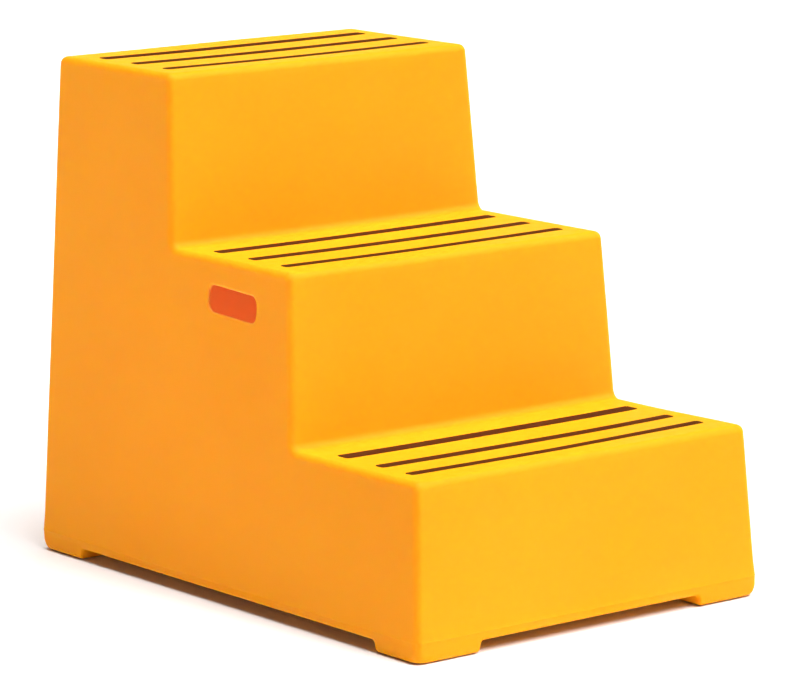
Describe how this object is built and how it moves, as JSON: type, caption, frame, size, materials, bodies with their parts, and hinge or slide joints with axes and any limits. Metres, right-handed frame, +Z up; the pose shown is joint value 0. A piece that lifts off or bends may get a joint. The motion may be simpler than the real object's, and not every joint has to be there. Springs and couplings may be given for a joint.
{
  "type": "mounting block",
  "caption": "Hollow moulded plastic mounting block with steps, hand holes in its sides, rubber grip strips let into the treads and rubber pads under its feet.",
  "frame": {"origin": "on the floor, at the middle of the footprint", "axes": "+Z up; the steps face -Y and rise towards +Y; +X is to the right of a person who climbs them"},
  "size_m": [0.508, 0.729, 0.6005],
  "materials": {
    "yellow_polyethylene": "semi-matt rotationally moulded polyethylene",
    "strip_rubber": "matt ribbed rubber",
    "pad_rubber": "matt moulded rubber"
  },
  "bodies": {
    "root": {"moulded_body": "yellow_polyethylene", "tread_1_strip_front": "strip_rubber", "tread_1_strip_middle": "strip_rubber", "tread_1_strip_rear": "strip_rubber", "tread_2_strip_front": "strip_rubber", "tread_2_strip_middle": "strip_rubber", "tread_2_strip_rear": "strip_rubber", "tread_3_strip_front": "strip_rubber", "tread_3_strip_middle": "strip_rubber", "tread_3_strip_rear": "strip_rubber", "foot_pad_front_left": "pad_rubber", "foot_pad_front_right": "pad_rubber", "foot_pad_rear_left": "pad_rubber", "foot_pad_rear_right": "pad_rubber"}
  },
  "joints": []
}
